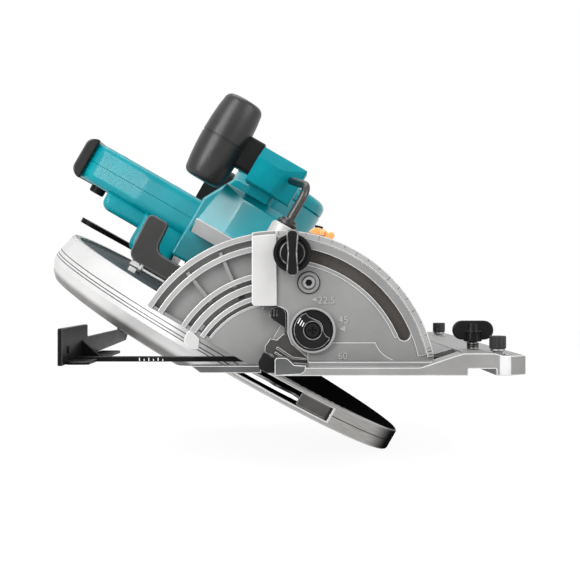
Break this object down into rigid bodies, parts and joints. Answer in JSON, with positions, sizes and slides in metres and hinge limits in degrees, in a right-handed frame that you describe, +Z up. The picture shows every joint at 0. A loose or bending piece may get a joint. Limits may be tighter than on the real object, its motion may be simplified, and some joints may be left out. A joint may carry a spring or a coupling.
{
  "type": "cordless circular saw",
  "caption": "Cordless circular saw tilted to its full bevel on a flat base, with a guarded blade, loop handle, front grip, bevel and depth clamps and a sliding rip fence.",
  "frame": {"origin": "on the plane of the sole, on the cut line, below the blade axle", "axes": "+X across the base to the motor side, +Y to the rear, +Z up from the sole"},
  "size_m": [0.3283, 0.42, 0.2577],
  "materials": {
    "base_metal": "cast, satin",
    "plate_metal": "cast, fine grain",
    "case_metal": "cast, satin",
    "guard_metal": "satin rim, dark sides",
    "teal_plastic": "fine texture",
    "black_rubber": "moulded grain",
    "black_plastic": "fine texture",
    "black_steel": "black coat",
    "bright_steel": "machined",
    "orange_plastic": "smooth",
    "pale_plate": "smooth"
  },
  "bodies": {
    "base": {"base_plate": "base_metal", "front_angle_plate": "plate_metal", "rear_angle_plate": "base_metal", "plate_screws": "bright_steel", "dial_screw": "bright_steel", "stop_screw": "bright_steel", "fence_spring": "bright_steel"},
    "stop_dial": {"stop_dial": "black_plastic"},
    "rip_fence": {"rip_fence": "black_steel"},
    "fence_wing_screw": {"fence_wing_screw": "black_plastic"},
    "rail_adjuster_front": {"rail_adjuster_front": "black_plastic"},
    "rail_adjuster_rear": {"rail_adjuster_rear": "black_plastic"},
    "bevel_bracket": {"front_sector": "plate_metal", "bevel_pointer": "orange_plastic", "pointer_screw": "black_steel", "bevel_bolt_front": "bright_steel", "bevel_bolt_rear": "bright_steel", "rear_sector": "plate_metal", "depth_guide": "black_steel"},
    "bevel_knob_front": {"bevel_knob_front": "black_plastic"},
    "bevel_knob_rear": {"bevel_knob_rear": "black_plastic"},
    "saw_body": {"blade_case_inner": "case_metal", "blade_case_outer": "case_metal", "body_screws": "bright_steel", "gear_housing": "case_metal", "bearings": "bright_steel", "pivot_bracket": "plate_metal", "depth_pivot_pin": "bright_steel", "motor_housing": "teal_plastic", "block_plate": "pale_plate", "motor_end_cap": "teal_plastic", "stator": "bright_steel", "handle_left": "teal_plastic", "handle_right": "teal_plastic", "grip_rubber": "black_rubber", "switch_unit": "black_plastic", "front_grip_post": "teal_plastic", "front_grip": "black_rubber", "battery_mount": "black_plastic", "controller_board": "black_plastic", "dust_nozzle": "black_plastic", "depth_clamp_bolt": "bright_steel", "guard_spring": "bright_steel"},
    "depth_lever": {"depth_lever": "black_plastic"},
    "lower_guard": {"lower_guard": "guard_metal"},
    "guard_lever": {"guard_lever": "black_plastic", "lever_rod": "bright_steel"},
    "blade_spindle": {"spindle": "bright_steel", "spindle_gear": "bright_steel", "inner_flange": "bright_steel", "outer_flange": "bright_steel", "blade_bolt": "bright_steel", "saw_blade": "bright_steel"},
    "rotor": {"rotor": "bright_steel", "cooling_fan": "black_plastic"},
    "trigger": {"trigger": "black_plastic"},
    "lock_off_button": {"lock_off_button": "black_plastic"},
    "shaft_lock_button": {"shaft_lock_button": "black_plastic"},
    "battery": {"battery_pack": "black_plastic"},
    "battery_release": {"battery_release": "black_plastic"}
  },
  "joints": [
    {"name": "bevel_tilt", "type": "hinge", "parent": "base", "child": "bevel_bracket", "pos_m": [0, 0, -0.01], "axis": [0, 1, 0], "range_deg": [0, 60]},
    {"name": "depth_swing", "type": "hinge", "parent": "bevel_bracket", "child": "saw_body", "pos_m": [-0.04157, -0.163, 0.014], "axis": [0.5, 0, 0.866], "range_deg": [0, 30]},
    {"name": "guard_swing", "type": "hinge", "parent": "saw_body", "child": "lower_guard", "pos_m": [-0.03724, 0, 0.0115], "axis": [0.5, 0, 0.866], "range_deg": [0, 100], "stiffness_Nm_per_rad": 0.6, "springref_deg": -51.57},
    {"name": "guard_lever_swing", "type": "hinge", "parent": "saw_body", "child": "guard_lever", "pos_m": [-0.06928, -0.096, 0.03], "axis": [0.5, 0, 0.866], "range_deg": [-30, 0]},
    {"name": "spindle_spin", "type": "hinge", "parent": "saw_body", "child": "blade_spindle", "pos_m": [-0.03724, 0, 0.0115], "axis": [0.5, 0, 0.866], "continuous": true},
    {"name": "rotor_spin", "type": "hinge", "parent": "saw_body", "child": "rotor", "pos_m": [-0.06066, -0.00725, 0.02502], "axis": [0.5, 0, 0.866], "continuous": true},
    {"name": "depth_lever_turn", "type": "hinge", "parent": "saw_body", "child": "depth_lever", "pos_m": [-0.04985, 0.11083, 0.01878], "axis": [0.5, 0, 0.866], "range_deg": [0, 60]},
    {"name": "trigger_pull", "type": "slide", "parent": "saw_body", "child": "trigger", "axis": [-0.866, 0, 0.5], "range_m": [0, 0.005], "stiffness_N_per_m": 500, "springref_m": -0.003},
    {"name": "lock_off_press", "type": "slide", "parent": "saw_body", "child": "lock_off_button", "axis": [0.5, 0, 0.866], "range_m": [0, 0.004], "stiffness_N_per_m": 400, "springref_m": -0.002},
    {"name": "shaft_lock_press", "type": "slide", "parent": "saw_body", "child": "shaft_lock_button", "axis": [0, 1, 0], "range_m": [0, 0.003], "stiffness_N_per_m": 500, "springref_m": -0.002},
    {"name": "battery_slide", "type": "slide", "parent": "saw_body", "child": "battery", "axis": [0, 1, 0], "range_m": [0, 0.12]},
    {"name": "battery_release_press", "type": "slide", "parent": "battery", "child": "battery_release", "axis": [0.866, 0, -0.5], "range_m": [0, 0.003], "stiffness_N_per_m": 600, "springref_m": -0.002},
    {"name": "stop_dial_turn", "type": "hinge", "parent": "base", "child": "stop_dial", "pos_m": [0.0212, -0.193, 0.0267], "axis": [0, 1, 0], "range_deg": [0, 110]},
    {"name": "fence_slide", "type": "slide", "parent": "base", "child": "rip_fence", "axis": [-1, 0, 0], "range_m": [0, 0.025]},
    {"name": "fence_screw_turn", "type": "hinge", "parent": "base", "child": "fence_wing_screw", "pos_m": [0.1256, -0.1675, 0.02], "axis": [0, 0, 1], "range_deg": [0, 360]},
    {"name": "rail_adjuster_front_turn", "type": "hinge", "parent": "base", "child": "rail_adjuster_front", "pos_m": [0.1365, -0.198, 0.017], "axis": [0, 0, 1], "range_deg": [-90, 90]},
    {"name": "rail_adjuster_rear_turn", "type": "hinge", "parent": "base", "child": "rail_adjuster_rear", "pos_m": [0.1365, 0.095, 0.017], "axis": [0, 0, 1], "range_deg": [-90, 90]},
    {"name": "bevel_knob_front_turn", "type": "hinge", "parent": "bevel_bracket", "child": "bevel_knob_front", "pos_m": [0.00848, -0.198, 0.07498], "axis": [0, 1, 0], "range_deg": [0, 90]},
    {"name": "bevel_knob_rear_turn", "type": "hinge", "parent": "bevel_bracket", "child": "bevel_knob_rear", "pos_m": [-0.01391, 0.182, 0.0328], "axis": [0, 1, 0], "range_deg": [0, 90]}
  ],
  "couplings": [
    {"joint": "rotor_spin", "follows": "spindle_spin", "ratio": -4.0909},
    {"joint": "guard_lever_swing", "follows": "guard_swing", "ratio": -0.3}
  ]
}
